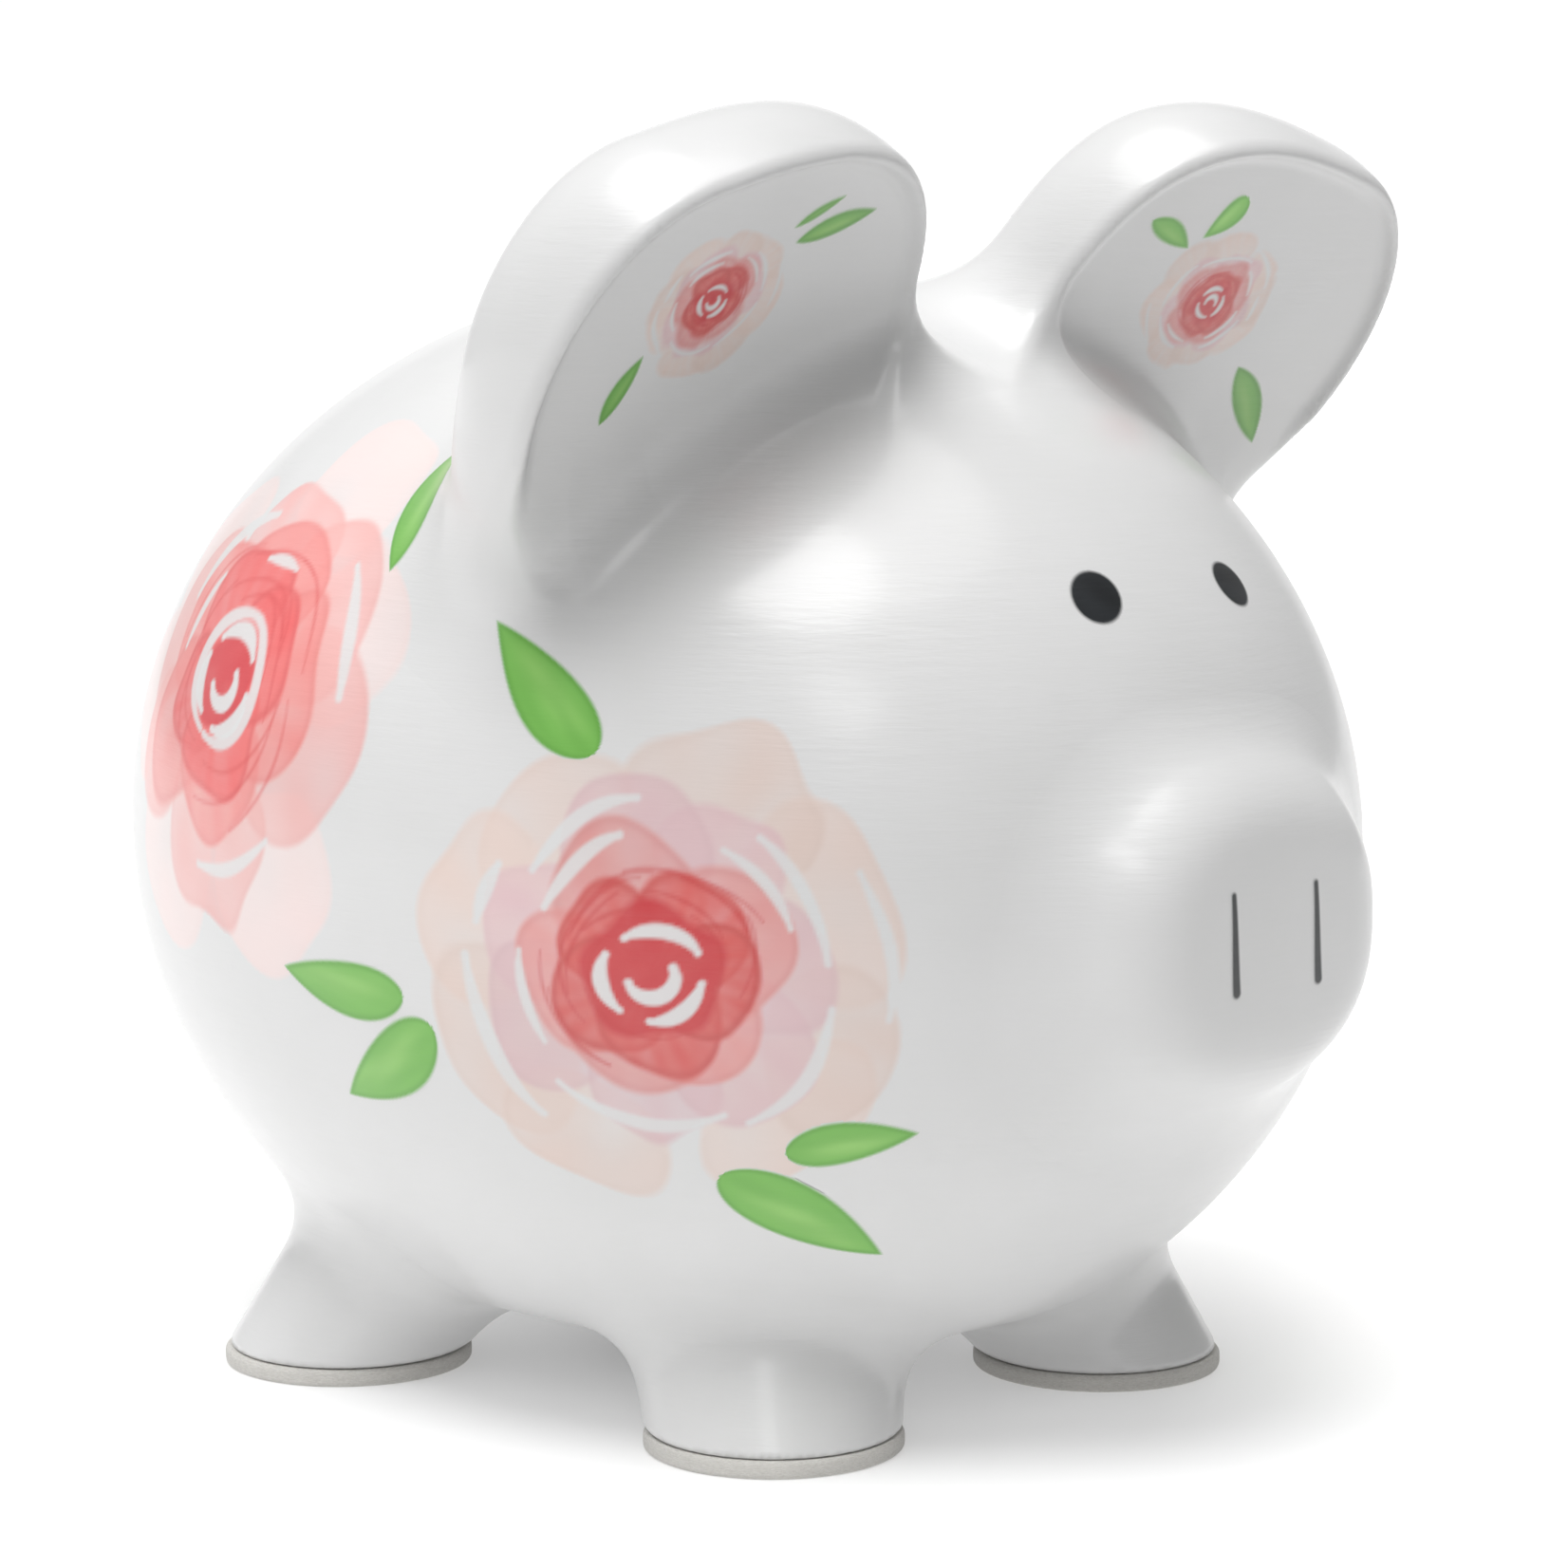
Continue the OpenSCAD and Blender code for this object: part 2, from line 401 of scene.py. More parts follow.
class Nodes:
    """The node tree of a material or a world, with a short way to add and join nodes."""

    def __init__(self, owner):
        owner.use_nodes = True
        self.tree = owner.node_tree

    def fill(self, socket, value):
        """Links a socket to another node's output, or gives it a plain value."""
        if isinstance(value, bpy.types.NodeSocket):
            self.tree.links.new(value, socket)
        else:
            socket.default_value = value

    def add(self, kind, settings=None, **inputs):
        node = self.tree.nodes.new("ShaderNode" + kind)
        for key, value in (settings or {}).items():
            setattr(node, key, value)
        for key, value in inputs.items():
            self.fill(node.inputs[key.replace("_", " ")], value)
        return node

    def set(self, name, **inputs):
        """Fills sockets of a node that the tree has from the start."""
        for key, value in inputs.items():
            self.fill(self.tree.nodes[name].inputs[key.replace("_", " ")], value)

    def place(self):
        return self.add("TexCoord").outputs["Object"]

    def noise(self, vector, scale, detail=2.0, roughness=0.5):
        node = self.add("TexNoise", Vector=vector, Scale=scale, Detail=detail, Roughness=roughness)
        return node.outputs["Fac"]

    def ramp(self, value, stops):
        node = self.add("ValToRGB", Fac=value)
        ramp = node.color_ramp
        ramp.elements[0].position, ramp.elements[0].color = stops[0][0], (*stops[0][1], 1)
        ramp.elements[1].position, ramp.elements[1].color = stops[-1][0], (*stops[-1][1], 1)
        for at, colour in stops[1:-1]:
            ramp.elements.new(at).color = (*colour, 1)
        return node.outputs["Color"]

    def remap(self, value, low, high):
        node = self.add("MapRange", Value=value, To_Min=low, To_Max=high)
        return node.outputs["Result"]

    def fade(self, value, start, end, low, high):
        """Goes smoothly from low to high as the value goes from start to end."""
        node = self.add(
            "MapRange", {"interpolation_type": "SMOOTHSTEP"}, Value=value,
            From_Min=start, From_Max=end, To_Min=low, To_Max=high,
        )
        return node.outputs["Result"]

    def along(self, vector, axis):
        """How far a vector reaches along an axis."""
        node = self.add("VectorMath", {"operation": "DOT_PRODUCT"}, Vector=vector)
        node.inputs[1].default_value = axis
        return node.outputs["Value"]

    def bump(self, height, distance, normal=None):
        node = self.add("Bump", Height=height, Distance=distance, Strength=1.0)
        if normal:
            self.fill(node.inputs["Normal"], normal)
        return node.outputs["Normal"]


def glaze_material(name, painted):
    """White satin glaze: a faint mottle, an orange-peel surface and a clear coat over it."""
    material = bpy.data.materials.new(name)
    m = Nodes(material)
    place = m.place()
    mottle = m.ramp(m.noise(place, 45.0, 3.0), [(0.3, (0.965, 0.966, 0.962)), (0.7, (1, 1, 1))])
    ground = (*GLAZE, 1)
    if painted:
        ground = m.add("Attribute", {"attribute_name": "paint"}).outputs["Color"]
    colour = m.add("MixRGB", {"blend_type": "MULTIPLY"}, Fac=1.0, Color1=ground, Color2=mottle)
    strokes = m.add("Mapping", Vector=place, Scale=(1.0, 1.0, 9.0)).outputs["Vector"]
    streaks = m.bump(m.noise(strokes, 95.0, 3.0, 0.6), 0.00007)
    waves = m.bump(m.noise(place, 60.0, 1.0), 0.0002, streaks)
    m.set(
        "Principled BSDF",
        Base_Color=colour.outputs["Color"],
        Roughness=m.remap(m.noise(strokes, 60.0), 0.3, 0.38),
        Normal=waves,
        IOR=1.5,
        Coat_Weight=0.35,
        Coat_Roughness=0.15,
    )
    return material


def rubber_material():
    """Matte black rubber with a fine moulded grain."""
    material = bpy.data.materials.new("stopper_rubber")
    m = Nodes(material)
    place = m.place()
    tones = [(0.3, (0.012, 0.012, 0.013)), (0.7, (0.03, 0.03, 0.032))]
    m.set(
        "Principled BSDF",
        Base_Color=m.ramp(m.noise(place, 260.0, 4.0), tones),
        Roughness=m.remap(m.noise(place, 900.0, 3.0), 0.5, 0.72),
        Normal=m.bump(m.noise(place, 1400.0, 2.0), 0.00006),
    )
    return material


def felt_material():
    """Pale pressed felt, with its fibres lying flat."""
    material = bpy.data.materials.new("foot_felt")
    m = Nodes(material)
    place = m.place()
    fibres = m.add("Mapping", Vector=place, Scale=(1.0, 1.0, 5.0)).outputs["Vector"]
    fuzz = m.noise(fibres, 1500.0, 6.0, 0.7)
    m.set(
        "Principled BSDF",
        Base_Color=m.ramp(fuzz, [(0.3, srgb(205, 202, 196)), (0.7, srgb(236, 234, 229))]),
        Roughness=m.remap(fuzz, 0.82, 1.0),
        Normal=m.bump(fuzz, 0.0003),
        Sheen_Weight=0.35,
    )
    return material


glaze = glaze_material("glazed_ceramic", False)
painted_glaze = glaze_material("painted_glaze", True)
rubber = rubber_material()
felt = felt_material()

# ---------------------------------------------------------------- clay pieces


def build_body():
    """The hollow body, on a grid that is finer round the slot and the stopper hole."""
    coarse, fine, slot_step = 1.7, 0.9, 0.45
    margin = 3
    hole = HOLE_R + 4
    slot = SLOT["r"] + 1.5
    slot_end = SLOT["middle"] + SLOT["half"] + SLOT["r"] + 3
    side, end = GIRTH + margin, HALF_LEN + margin
    across = axis_steps(
        [-side, (-hole, coarse), (-slot, fine), (slot, slot_step), (hole, fine), (side, coarse)]
    )
    along = axis_steps([-end, (-hole, coarse), (slot_end, fine), (end, coarse)])
    # fine steps up to 18 mm, round the hole's edges, and from 132 mm, round the slot's
    upward = axis_steps([BELLY_H - margin, (18, 0.7), (132, 1.8), (AXIS_H + side, fine)])
    points, faces = surface_net(shell, (across, along, upward))
    points = settle(shell, points, 0.4)
    clay_piece("body_casting", points, faces, gradient(shell, points), glaze, "body_shell")


def build_limb(node):
    """A limb with its fillet: it ends in a thin skirt that sinks into the body's wall."""
    field, fillet, step = LIMBS[node]
    both = joined(node)
    depth = 1.5

    def form(p):
        base, limb = body(p), field(p)
        off = (limb - base) / fillet
        # the last quarter of the fillet dives a hair under the body, which hides its edge
        dive = 0.01 * fillet * np.clip(4 * off - 3, 0, 1) ** 2
        outside = smooth_min(base, limb, fillet) + dive
        return np.maximum(outside, np.maximum(-base - depth, (off - 1) * fillet))

    low, high = node_box(node)
    margin = fillet + 6
    low, high = low - margin, high + margin
    if "leg" in node:
        low[2] = PAD_T - 1.5
    axes = tuple(axis_steps([low[i], (high[i], step)]) for i in range(3))
    points, faces = surface_net(form, axes)
    points = settle(form, points, 0.3)
    normals = gradient(form, points)
    on_skin = np.abs(both(points)) < 0.35
    normals[on_skin] = gradient(both, points[on_skin])
    clay_piece(node + "_casting", points, faces, normals, glaze, node)


# ---------------------------------------------------------------- painting


def ripple(s, t, seed, size):
    """Smooth irregular values of about -1 to 1 that vary over about size millimetres."""
    rng = np.random.default_rng(seed)
    total = 0
    for _ in range(6):
        angle, phase = rng.uniform(0, 2 * math.pi, 2).tolist()
        waves = rng.uniform(0.6, 1.5)
        along = s * math.cos(angle) + t * math.sin(angle)
        total = total + np.sin(along * 2 * math.pi * waves / size + phase)
    return total / 3.2


def lay(colour, tint, amount):
    """Paints a tint over the colours so far."""
    return colour + (np.asarray(tint) - colour) * np.clip(amount, 0, 1)[:, None]


def cover(distance, soft):
    """1 inside a shape and 0 outside it, with an edge of the width soft."""
    return np.clip(0.5 - distance / soft, 0, 1)


def petal(colour, s, t, angle, ring, wide, deep, tint, strength, edge, seed):
    """One watercolour petal: a lobe at ring from the middle, darker along its outer edge."""
    c, n = math.cos(angle), math.sin(angle)
    out, side = s * c + t * n - ring, t * c - s * n
    wobble = 0.09 * min(wide, deep) * ripple(s, t, seed, 1.6 * wide)
    q = np.hypot(side / wide, out / deep)
    distance = (q - 1) * min(wide, deep) * 0.9 + wobble
    bearing = np.degrees(np.arctan2(side, out + ring))
    streaks = ripple(bearing * 0.3, 0.3 * out, seed + 50, 0.5 * wide)
    wash = 0.80 + 0.10 * streaks + 0.10 * ripple(s, t, seed + 90, wide) + 0.14 * out / deep
    rim = np.exp(-(((distance + 0.45) / 0.5) ** 2)) * edge
    colour = lay(colour, tint, cover(distance, 0.7) * strength * wash)
    return lay(colour, np.asarray(tint) * 0.82, rim * cover(distance, 0.7) * (out > -0.4 * deep))


def stroke(colour, s, t, middle, r, start, end, width, tint, amount=0.96):
    """An arc drawn with a pointed brush, from one angle to another in degrees."""
    x, y = s - middle[0], t - middle[1]
    span = end - start
    angle = (np.degrees(np.arctan2(y, x)) - start) % 360
    along = np.clip(np.where(angle > (360 + span) / 2, 0, angle / span), 0, 1)
    at = np.radians(start + span * along)
    width = width * (0.25 + 0.75 * np.sin(math.pi * np.clip(along, 0.06, 0.94)) ** 0.7)
    distance = np.hypot(x - r * np.cos(at), y - r * np.sin(at)) - width / 2
    return lay(colour, tint, cover(distance, 0.5) * amount)


# Rings of a rose from outside in: lobes, ring, width and depth as shares of the radius, tint,
# strength of the wash and of its darker edge. Gaps are bare arcs: ring, from, to, width.
SIDE_ROSE = dict(
    rings=[
        (8, 0.70, 0.38, 0.26, srgb(224, 203, 194), 0.80, 0.12),
        (7, 0.45, 0.28, 0.25, srgb(219, 186, 191), 0.78, 0.12),
        (5, 0.30, 0.29, 0.25, srgb(222, 148, 144), 0.82, 0.30),
        (5, 0.21, 0.24, 0.22, srgb(212, 88, 84), 0.86, 0.55),
    ],
    eye=(0.27, srgb(198, 54, 60)),
    line=srgb(196, 56, 58),
    gaps=[
        (0.62, 62, 112, 0.06),
        (0.66, -28, 22, 0.055),
        (0.62, 196, 262, 0.05),
        (0.78, 150, 200, 0.07),
        (0.50, 70, 122, 0.06),
        (0.55, 146, 182, 0.05),
        (0.55, -14, 30, 0.05),
        (0.68, 268, 318, 0.05),
        (0.88, 318, 352, 0.05),
        (0.74, 118, 140, 0.06),
    ],
)
REAR_ROSE = dict(
    rings=[
        (6, 0.74, 0.34, 0.27, srgb(240, 216, 213), 0.78, 0.08),
        (6, 0.53, 0.33, 0.27, srgb(236, 176, 172), 0.85, 0.12),
        (5, 0.36, 0.31, 0.26, srgb(234, 138, 134), 0.85, 0.25),
        (4, 0.21, 0.27, 0.24, srgb(229, 100, 100), 0.88, 0.50),
    ],
    eye=(0.19, srgb(208, 60, 68)),
    line=srgb(214, 74, 76),
    gaps=[
        (0.62, 30, 80, 0.075),
        (0.66, 195, 240, 0.05),
        (0.70, 290, 330, 0.06),
        (0.46, 60, 95, 0.05),
        (0.235, -5, 172, 0.06),
        (0.235, 180, 350, 0.065),
        (0.42, -8, 18, 0.05),
    ],
)
# Bare arcs that draw the folded heart of every rose
HEART_GAPS = (
    (0.185, 25, 120, 0.055),
    (0.19, 150, 225, 0.065),
    (0.19, 262, 345, 0.07),
    (0.085, 190, 385, 0.07),
)


def paint_rose(style, radius, turn, seed):
    """A watercolour rose; the function that it returns colours the points (s, t)."""

    def paint(s, t):
        rng = np.random.default_rng(seed)
        colour = np.tile(GLAZE, (len(s), 1))
        # an unsteady hand: the lobes are drawn in slightly warped coordinates
        warp = 0.03 * radius
        x = s + warp * ripple(s, t, seed + 300, 0.9 * radius)
        y = t + warp * ripple(s, t, seed + 301, 0.9 * radius)
        for k, (lobes, ring, wide, deep, tint, strength, edge) in enumerate(style["rings"]):
            for i in range(lobes):
                angle = turn + (i + 0.4 * (k % 2)) * 2 * math.pi / lobes + rng.uniform(-0.2, 0.2)
                far = ring * rng.uniform(0.9, 1.08)
                size = radius * rng.uniform(0.82, 1.14)
                shade = np.asarray(tint) * rng.uniform(0.95, 1.04)
                colour = petal(
                    colour, x, y, angle, far * radius, wide * size, deep * size, shade,
                    strength, edge, seed + 10 * k + i,
                )
        share, tint = style["eye"]
        around = np.arctan2(y, x)
        rim = share * radius * (1 + 0.07 * np.sin(5 * around) + 0.04 * np.sin(3 * around + seed))
        mottle = 0.86 + 0.1 * ripple(x, y, seed + 70, 0.16 * radius)
        colour = lay(colour, tint, mottle * cover(np.hypot(x, y) - rim, 1.2))
        # fine darker outlines left by the brush round the heart
        for _ in range(15):
            start, span = rng.uniform(0, 360), rng.uniform(35, 95)
            r = radius * rng.uniform(0.24, 0.50)
            off = (0.04 * radius * rng.normal(), 0.04 * radius * rng.normal())
            colour = stroke(
                colour, x, y, off, r, start, start + span, 0.016 * radius, style["line"], 0.5
            )
        at = math.degrees(turn)
        for r, start, end, width in style["gaps"]:
            colour = stroke(
                colour, x, y, (0, 0), r * radius, start + at, end + at, width * radius, GLAZE, 0.9
            )
        for r, start, end, width in HEART_GAPS:
            colour = stroke(colour, x, y, (0, 0), r * radius, start, end, width * radius, GLAZE)
        return colour

    return paint


def paint_leaf(length, width, seed, shade, foot):
    """A leaf along s with a pointed tip and a lighter streak; foot 0.55 is round, 1 is pointed."""

    def paint(s, t):
        at = np.clip(s / length + 0.5, 0, 1)
        bend = 0.10 * width * np.sin(math.pi * at)
        tip = 0.95
        widest = foot**foot * tip**tip / (foot + tip) ** (foot + tip)
        half = width / 2 * at**foot * (1 - at) ** tip / widest
        beyond = np.maximum(np.abs(s) - length / 2, 0)
        distance = np.hypot(np.maximum(np.abs(t - bend) - half, 0), beyond)
        distance = np.where(distance > 0, distance, np.abs(t - bend) - half)
        streak = np.exp(-(((t - bend) / (0.2 * width) + 0.5) ** 2)) * np.sin(math.pi * at) ** 1.5
        wash = 0.5 + 0.5 * ripple(s * 0.35, t * 1.5, seed, 5.0)
        green = lay(np.tile(srgb(112, 182, 70), (len(s), 1)), srgb(148, 204, 104), 0.75 * streak)
        green = lay(green, srgb(98, 168, 56), 0.45 * wash)
        rim = np.exp(-(((distance + 0.35) / 0.45) ** 2))
        green = lay(green, srgb(86, 156, 46), 0.65 * rim) * shade
        return lay(np.tile(GLAZE, (len(s), 1)), green, 0.97 * cover(distance, 0.5))

    return paint


def paint_oval(width, height, tint):
    """A dab of paint of uneven strength."""

    def paint(s, t):
        distance = oval_field((s, t), (width / 2, height / 2), 2.0)
        strength = 1 + 0.25 * ripple(s, t, 5, 6.0)
        tints = np.asarray(tint) * strength[:, None]
        return lay(np.tile(GLAZE, (len(s), 1)), tints, cover(distance, 0.5))

    return paint


def paint_line(width, height, tint):
    """An upright line drawn with a brush, a little thicker at its lower end."""

    def paint(s, t):
        at = np.clip(t, -height / 2, height / 2)
        half = width / 2 * (1.05 - 0.5 * at / height)
        distance = np.hypot(s - 0.15 * np.sin(at / 4), t - at) - half
        return lay(np.tile(GLAZE, (len(s), 1)), tint, 0.95 * cover(distance, 0.4))

    return paint


FORWARD = np.array([0.0, -1.0, 0.0])
ROSE_STEP = 0.35  # grid steps of the films
LEAF_STEP = 0.25
ROSE_LIFT = 0.04  # how far the paint stands above the glaze
LEAF_LIFT = 0.07
SINK = 0.05  # how far the unpainted border of a film lies under the glaze
TRACE = 0.004  # a difference from the glaze that is too faint to see
RISE = 0.02  # the difference over which a film's border comes up out of the glaze


def film(name, middle, along, reach, step, lift, paint):
    """A film of paint on the glaze around middle, as far as reach along its two axes.

    Its s axis runs as near to along as it can.
    """
    middle = settle(skin, np.array([middle], float), 5.0)[0]
    out = unit(gradient(skin, middle[None]))[0]
    s_axis = unit(along - (along @ out) * out)
    t_axis = np.cross(out, s_axis)
    reach_s, reach_t = reach
    ns, nt = (int(2 * r / step) + 1 for r in (reach_s, reach_t))
    s, t = np.meshgrid(np.linspace(-reach_s, reach_s, ns), np.linspace(-reach_t, reach_t, nt))
    s, t = s.ravel(), t.ravel()
    colour = paint(s, t)
    tinted = (np.abs(colour - GLAZE).max(1) > TRACE).reshape(nt, ns)
    face = tinted[:-1, :-1] | tinted[1:, :-1] | tinted[:-1, 1:] | tinted[1:, 1:]
    row, col = np.nonzero(face)
    first = row * ns + col
    faces = np.stack([first, first + 1, first + ns + 1, first + ns], 1)
    used, faces = np.unique(faces, return_inverse=True)
    faces = faces.reshape(-1, 4)
    points = middle + s[used, None] * s_axis + t[used, None] * t_axis
    probe = 0.05
    for _ in range(7):
        f = skin(points)
        slope = (skin(points + probe * out) - f) / probe
        points = points - np.clip(f / np.maximum(slope, 0.25), -6, 6)[:, None] * out
    normals = unit(gradient(skin, points))
    strength = np.clip((np.abs(colour[used] - GLAZE).max(1) - TRACE) / RISE, 0, 1)
    points = points + ((lift + SINK) * strength - SINK)[:, None] * normals
    mesh = clay_piece(name, points, faces, normals, painted_glaze)
    paint_layer = mesh.color_attributes.new("paint", "FLOAT_COLOR", "POINT")
    opaque = np.ones((len(used), 1))
    paint_layer.data.foreach_set("color", np.hstack([colour[used], opaque]).ravel())


def flower(name, middle, radius, style, turn, seed, along=FORWARD, step=ROSE_STEP):
    reach = 1.12 * radius
    paint = paint_rose(style, radius, turn, seed)
    film(name, middle, along, (reach, reach), step, ROSE_LIFT, paint)


def leaf(name, foot, tip, width, seed, shade=1.0, end=0.55):
    foot, tip = np.array(foot, float), np.array(tip, float)
    length = np.linalg.norm(tip - foot)
    reach = (length / 2 + 1, width / 2 + 1)
    paint = paint_leaf(length, width, seed, shade, end)
    film(name, (foot + tip) / 2, tip - foot, reach, LEAF_STEP, LEAF_LIFT, paint)


def flank_painting(side, name):
    """Two roses and six leaves on one flank; side is -1 on the pig's right."""

    def at(x, y, z):
        return (-side * x, y, z)

    turn = float(side > 0)
    flower(name + "_side_rose", at(-64, -53.5, 70), 34, SIDE_ROSE, 0.5 + turn, 3)
    flower(name + "_rear_rose", at(-70, 24, 101), 40, REAR_ROSE, 1.2 + turn, 8, step=0.4)
    places = [
        (at(-66.5, -6.5, 117.5), at(-51, -15, 132.5), 9.5),
        (at(-66, -45, 97), at(-66, -28, 112), 9.0),
        (at(-76, -18, 63.5), at(-77, 5, 65), 8.0),
        (at(-74, -22, 60), at(-73, -3, 48), 9.0),
        (at(-54, -55, 42.5), at(-34.5, -65, 30.5), 10.0),
        (at(-50, -63, 46), at(-39, -76, 49), 6.5),
    ]
    for i, (foot, tip, width) in enumerate(places):
        leaf(f"{name}_leaf_{i + 1}", foot, tip, width, 20 + i, end=1.0 if i == 0 else 0.55)


def ear_painting(side, name, rose, radius, leaves, turn):
    """A small rose and three leaves on an ear's face; places are across and up the face."""
    middle = ear_point(side, *rose)
    flower(name + "_rose", middle, radius, SIDE_ROSE, turn, 31, EAR_U * (-side, 1, 1), 0.2)
    for i, (foot, tip, width, shade, end) in enumerate(leaves):
        foot, tip = ear_point(side, *foot), ear_point(side, *tip)
        leaf(f"{name}_leaf_{i + 1}", foot, tip, width, 40 + i, shade, end)


def face_painting():
    """Two oval eyes, the left one a little smaller, and two lines for nostrils."""
    ink = srgb(30, 33, 36)
    for side, name, size in ((-1, "right", 1.0), (1, "left", 0.88)):
        up_and_in = np.array([-0.25 * side, 0.0, 1.0])
        film(
            name + "_eye", (13 * side, -82, 116), up_and_in, (5.2, 5.0), 0.2, ROSE_LIFT,
            paint_oval(7.9 * size, 7.4 * size, ink),
        )
        film(
            name + "_nostril", (8.0 * side - 0.5, -102, 72.8), np.array([1.0, 0, 0.09]), (1.8, 7.8),
            0.12, LEAF_LIFT, paint_line(1.15, 12.6, ink),
        )


# ---------------------------------------------------------------- turned pieces


def lathe(name, profile, steps, body_name, node, material, middle=(0, 0), wobble=0.0):
    """A closed turned piece from (radius, height) points, the first and last on the axis."""
    rng = np.random.default_rng(len(name))
    angle = np.arange(steps) * 2 * math.pi / steps
    waves = sum(np.sin(k * angle + rng.uniform(0, 6.28)) / k for k in (2, 3, 5, 9, 17))
    uneven = 1 + wobble * waves
    points = [(0, 0, profile[0][1])]
    for r, z in profile[1:-1]:
        points += [(r * u * math.cos(a), r * u * math.sin(a), z) for a, u in zip(angle, uneven)]
    points.append((0, 0, profile[-1][1]))
    faces = []
    rings = len(profile) - 2
    for k in range(rings - 1):
        for i in range(steps):
            j = (i + 1) % steps
            a, b = 1 + k * steps, 1 + (k + 1) * steps
            faces.append((a + i, a + j, b + j, b + i))
    last = len(points) - 1
    for i in range(steps):
        j = (i + 1) % steps
        faces.append((0, 1 + j, 1 + i))
        faces.append((last, 1 + (rings - 1) * steps + i, 1 + (rings - 1) * steps + j))
    mesh = bpy.data.meshes.new(name)
    shift = np.array([middle[0], middle[1], 0])
    mesh.from_pydata(((np.array(points) + shift) * MM).tolist(), [], faces)
    mesh.shade_smooth()
    mesh.set_sharp_from_angle(angle=math.radians(40))
    mesh.materials.append(material)
    add_piece(name, mesh, body_name, node)


def corner(r, z, radius, start):
    """Points of a rounded corner of a profile, a quarter turn from the start angle."""
    steps = 5
    turn = [math.radians(start + 90 * i / steps) for i in range(steps + 1)]
    return [(r + radius * math.cos(a), z + radius * math.sin(a)) for a in turn]


def build_pads():
    """A slightly uneven felt disc with soft edges under each foot."""
    soft = 0.7
    profile = [(0, 0), (PAD_R * 0.5, 0)]
    profile += corner(PAD_R - soft, soft, soft, -90)
    profile += corner(PAD_R - soft, PAD_T - soft, soft, 0)
    profile += [(PAD_R * 0.5, PAD_T), (0, PAD_T)]
    for foot_name in FEET:
        node = foot_name + "_pad"
        middle = pad_middle(node)
        lathe("felt_" + node, profile, 96, "root", node, felt, middle, 0.006)


def build_stopper():
    """A moulded stopper: a flange with two raised rings under it, and a hollow plug with a bead."""
    low, top = stopper_low[2], stopper_high[2]
    flange_top = low + FLANGE_T
    r = HOLE_R - PLUG_FIT
    profile = [(0, low + 0.9), (3.0, low + 0.9), (4.0, low + 0.5), (5.2, low), (7.2, low)]
    profile += [(8.4, low + 0.5), (9.2, low + 0.7), (13.4, low + 0.7)]
    profile += [(14.4, low + 0.2), (15.2, low)]
    profile += corner(FLANGE_R - 1, low + 1, 1.0, -90)
    profile += [(FLANGE_R, flange_top - 0.25), (FLANGE_R - 0.25, flange_top), (r + 0.2, flange_top)]
    profile += [(r - 0.35, flange_top + 0.4), (r - 0.35, flange_top + 4.0)]
    profile += [(r - 0.1, flange_top + 4.4), (r, flange_top + 4.9), (r - 0.5, top - 0.5)]
    profile += [(r - 1.0, top), (r - 1.7, top), (r - 2.0, top - 0.4), (r - 2.0, flange_top + 2.6)]
    profile += [(r - 2.8, flange_top + 2.0), (0, flange_top + 2.0)]
    lathe("rubber_stopper", profile, 128, "stopper", "belly_stopper", rubber)


# ---------------------------------------------------------------- stage, lights, camera


def build_stage():
    """A flat pale floor that glows as a light of its own, with a painted shadow where it glows less
    under the pig, and painted shade where it is greyer and dimmer in front.
    """
    size = 6.0
    mesh = bpy.data.meshes.new("floor")
    corners = [(-size, -size, 0), (size, -size, 0), (size, size, 0), (-size, size, 0)]
    mesh.from_pydata(corners, [], [(0, 1, 2, 3)])
    material = bpy.data.materials.new("floor_glow_painted_shadow")
    m = Nodes(material)
    place = m.place()
    # painted shade: in front of the pig the floor is greyer, so it glows less and throws less light
    # up onto the pig
    ahead = m.fade(m.along(place, direction(-12, 0)), 0.13, 0.42, 0.0, 1.0)
    floor_tone_with_painted_shade = m.ramp(ahead, [(0.0, (0.66, 0.66, 0.66)), (1.0, (0.27, 0.27, 0.27))])
    away = m.add("VectorMath", {"operation": "LENGTH"}, Vector=place).outputs["Value"]
    m.set(
        "Principled BSDF",
        Base_Color=floor_tone_with_painted_shade,
        Emission_Color=floor_tone_with_painted_shade,
        # painted shadow: the floor's glow is weaker within 0.11 m of the middle, under the pig
        Emission_Strength=m.fade(away, 0.0, 0.11, 0.38, 0.58),
        Roughness=0.9,
        Specular_IOR_Level=0.1,
    )
    mesh.materials.append(material)
    floor = bpy.data.objects.new("floor", mesh)
    bpy.context.scene.collection.objects.link(floor)


def add_sun(name, azimuth, elevation, spread, strength):
    """Even light from one direction over the whole floor; spread is its width in degrees."""
    lamp = bpy.data.lights.new(name, "SUN")
    lamp.angle = math.radians(spread)
    lamp.energy = strength
    thing = bpy.data.objects.new(name, lamp)
    bpy.context.scene.collection.objects.link(thing)
    point_at(thing, direction(azimuth, elevation), (0, 0, 0))


def point_at(thing, place, target):
    """Puts a lamp or a camera at a place, looking at the target."""
    thing.location = place
    thing.rotation_euler = (Vector(target) - Vector(place)).to_track_quat("-Z", "Y").to_euler()


def direction(azimuth, elevation):
    """Unit direction from the pig; azimuth 0 is in front of it and negative on its right."""
    a, e = math.radians(azimuth), math.radians(elevation)
    return np.array([math.sin(a) * math.cos(e), -math.cos(a) * math.cos(e), math.sin(e)])


# Where the camera stands, in degrees and metres, and what it looks at
CAMERA = dict(azimuth=-43.8, elevation=7.74, distance=0.7003, field=18.18)
CAMERA_TARGET = np.array([0.0053, -0.0051, 0.0826])


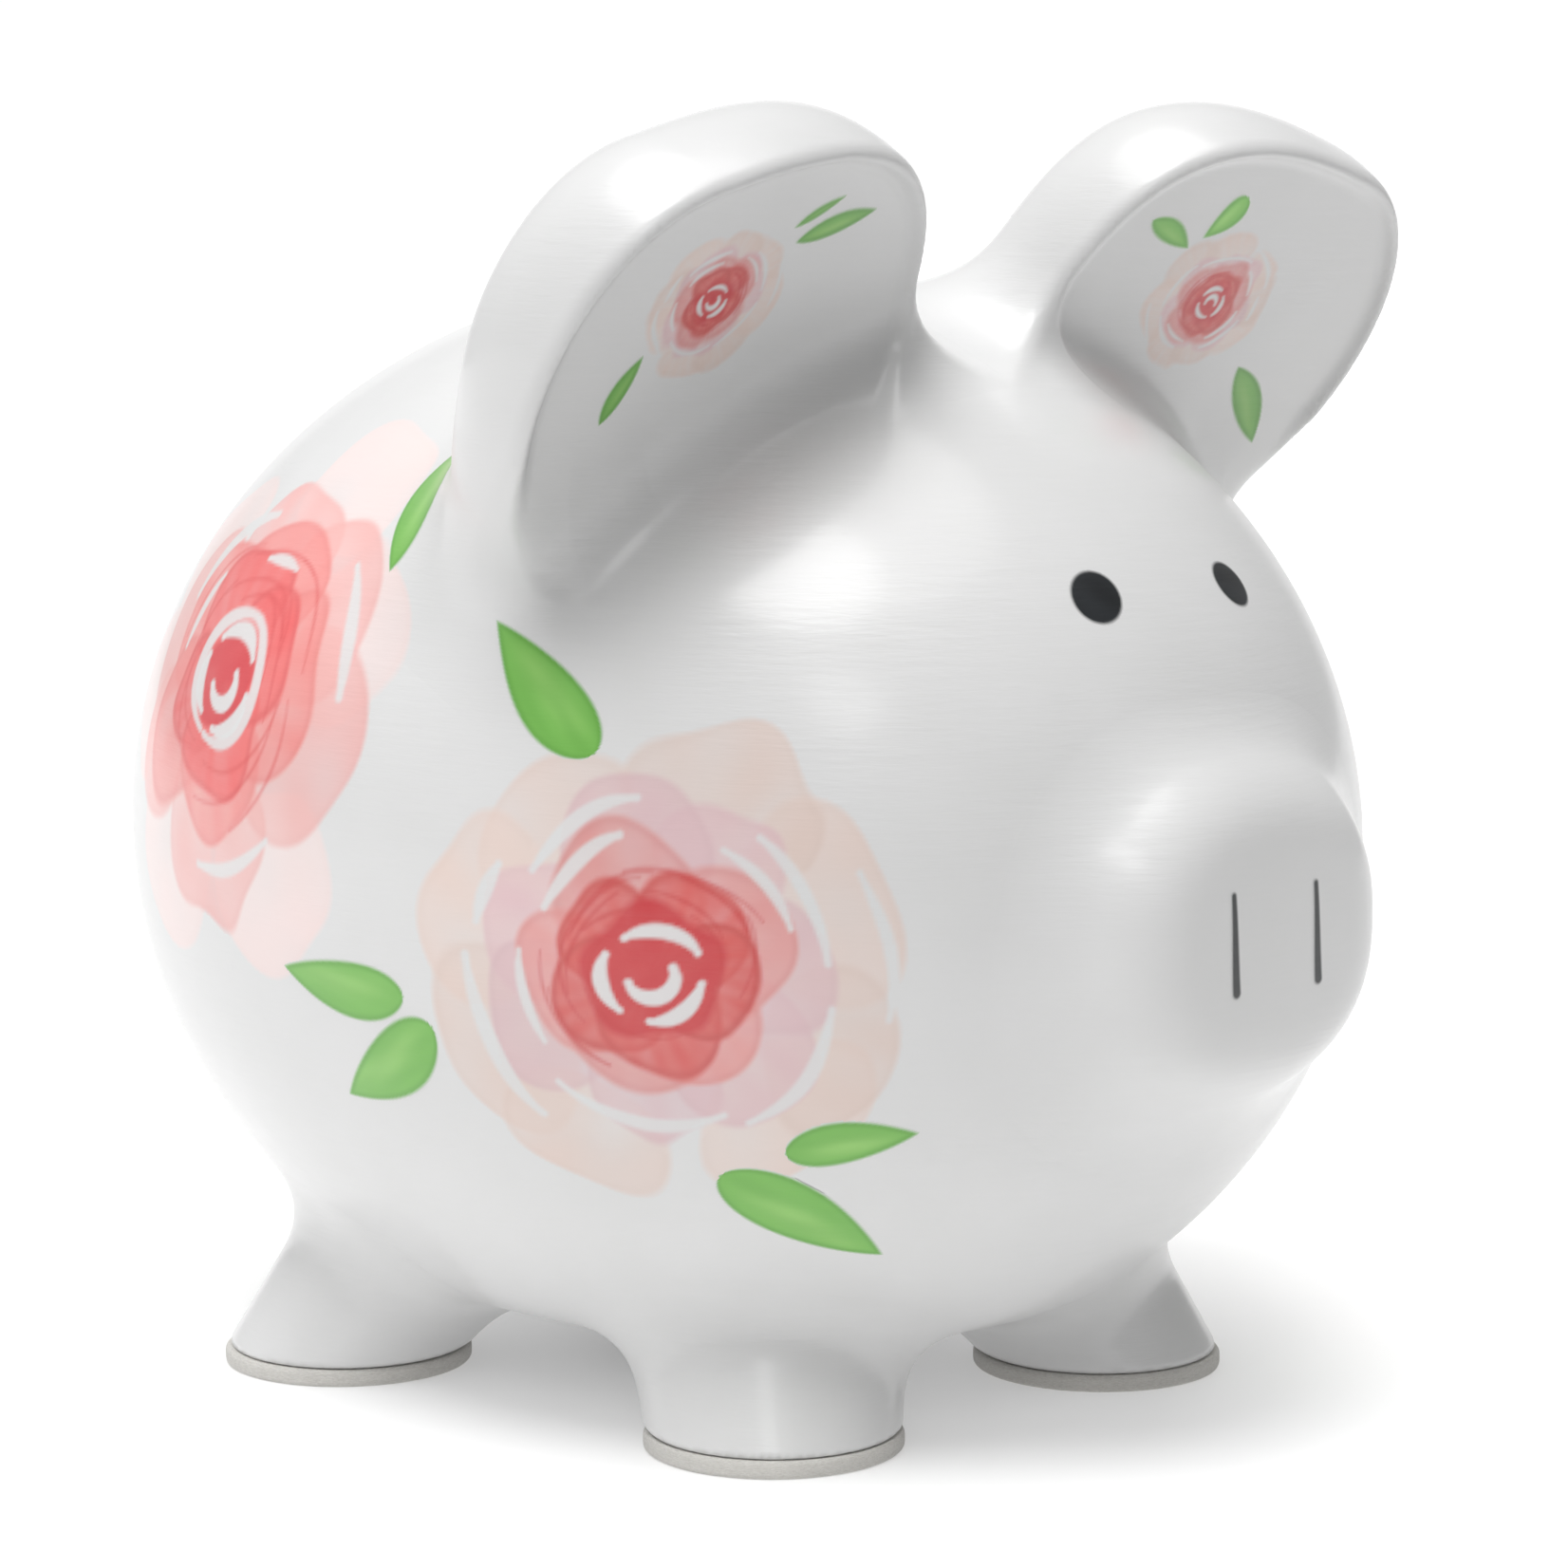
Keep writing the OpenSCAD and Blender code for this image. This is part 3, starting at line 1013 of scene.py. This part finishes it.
def build_camera():
    camera = bpy.data.cameras.new("camera")
    camera.angle = math.radians(CAMERA["field"])
    camera.clip_start = 0.01
    thing = bpy.data.objects.new("camera", camera)
    bpy.context.scene.collection.objects.link(thing)
    away = direction(CAMERA["azimuth"], CAMERA["elevation"])
    point_at(thing, CAMERA_TARGET + CAMERA["distance"] * away, CAMERA_TARGET)
    bpy.context.scene.camera = thing


def build_lights():
    """Soft light from above and from the left of the camera, in a grey room that is brighter
    behind the pig's back, and white straight behind the pig in the camera's view."""
    add_sun("key_softbox", -60, 66, 26, 1.1)
    add_sun("low_softbox", -46, 38, 14, 0.2)
    add_sun("overhead_softbox", -80, 84, 56, 2.1)
    world = bpy.data.worlds.new("studio")
    m = Nodes(world)
    place = m.add("TexCoord").outputs["Generated"]
    behind = -direction(CAMERA["azimuth"], CAMERA["elevation"])
    brightest = m.add("Math", {"operation": "MAXIMUM"})
    m.fill(brightest.inputs[0], m.fade(m.along(place, direction(10, 0)), 0.45, -0.45, 0.2, 0.55))
    m.fill(brightest.inputs[1], m.fade(m.along(place, behind), 0.84, 0.94, 0.0, 1.03))
    m.set("Background", Color=(1, 1, 1, 1), Strength=brightest.outputs["Value"])
    bpy.context.scene.world = world
    bpy.context.scene.view_settings.view_transform = "Standard"


# ---------------------------------------------------------------- the whole scene

build_camera()
build_lights()
build_stage()
build_body()
for limb_node in LIMBS:
    build_limb(limb_node)
flank_painting(-1, "right")
flank_painting(1, "left")
ear_painting(
    -1, "right_ear", (3.6, 12.6), 12.5,
    [
        ((-12.4, -1.4), (-7, 7.8), 3.2, 0.92, 0.8),
        ((16.4, 17.2), (30, 17.4), 3.4, 0.92, 0.8),
        ((15.6, 19.9), (23.7, 22), 1.6, 0.95, 0.8),
    ],
    0.3,
)
ear_painting(
    1, "left_ear", (10.2, 6.6), 12.5,
    [
        ((32, 13.8), (22, 12.4), 3.6, 1.05, 0.7),
        ((18.2, 22.6), (20.7, 14.6), 4.4, 1.15, 0.5),
        ((-4.6, -0.2), (-18, -9.6), 5.0, 0.86, 0.85),
    ],
    1.1,
)
face_painting()
build_pads()
build_stopper()
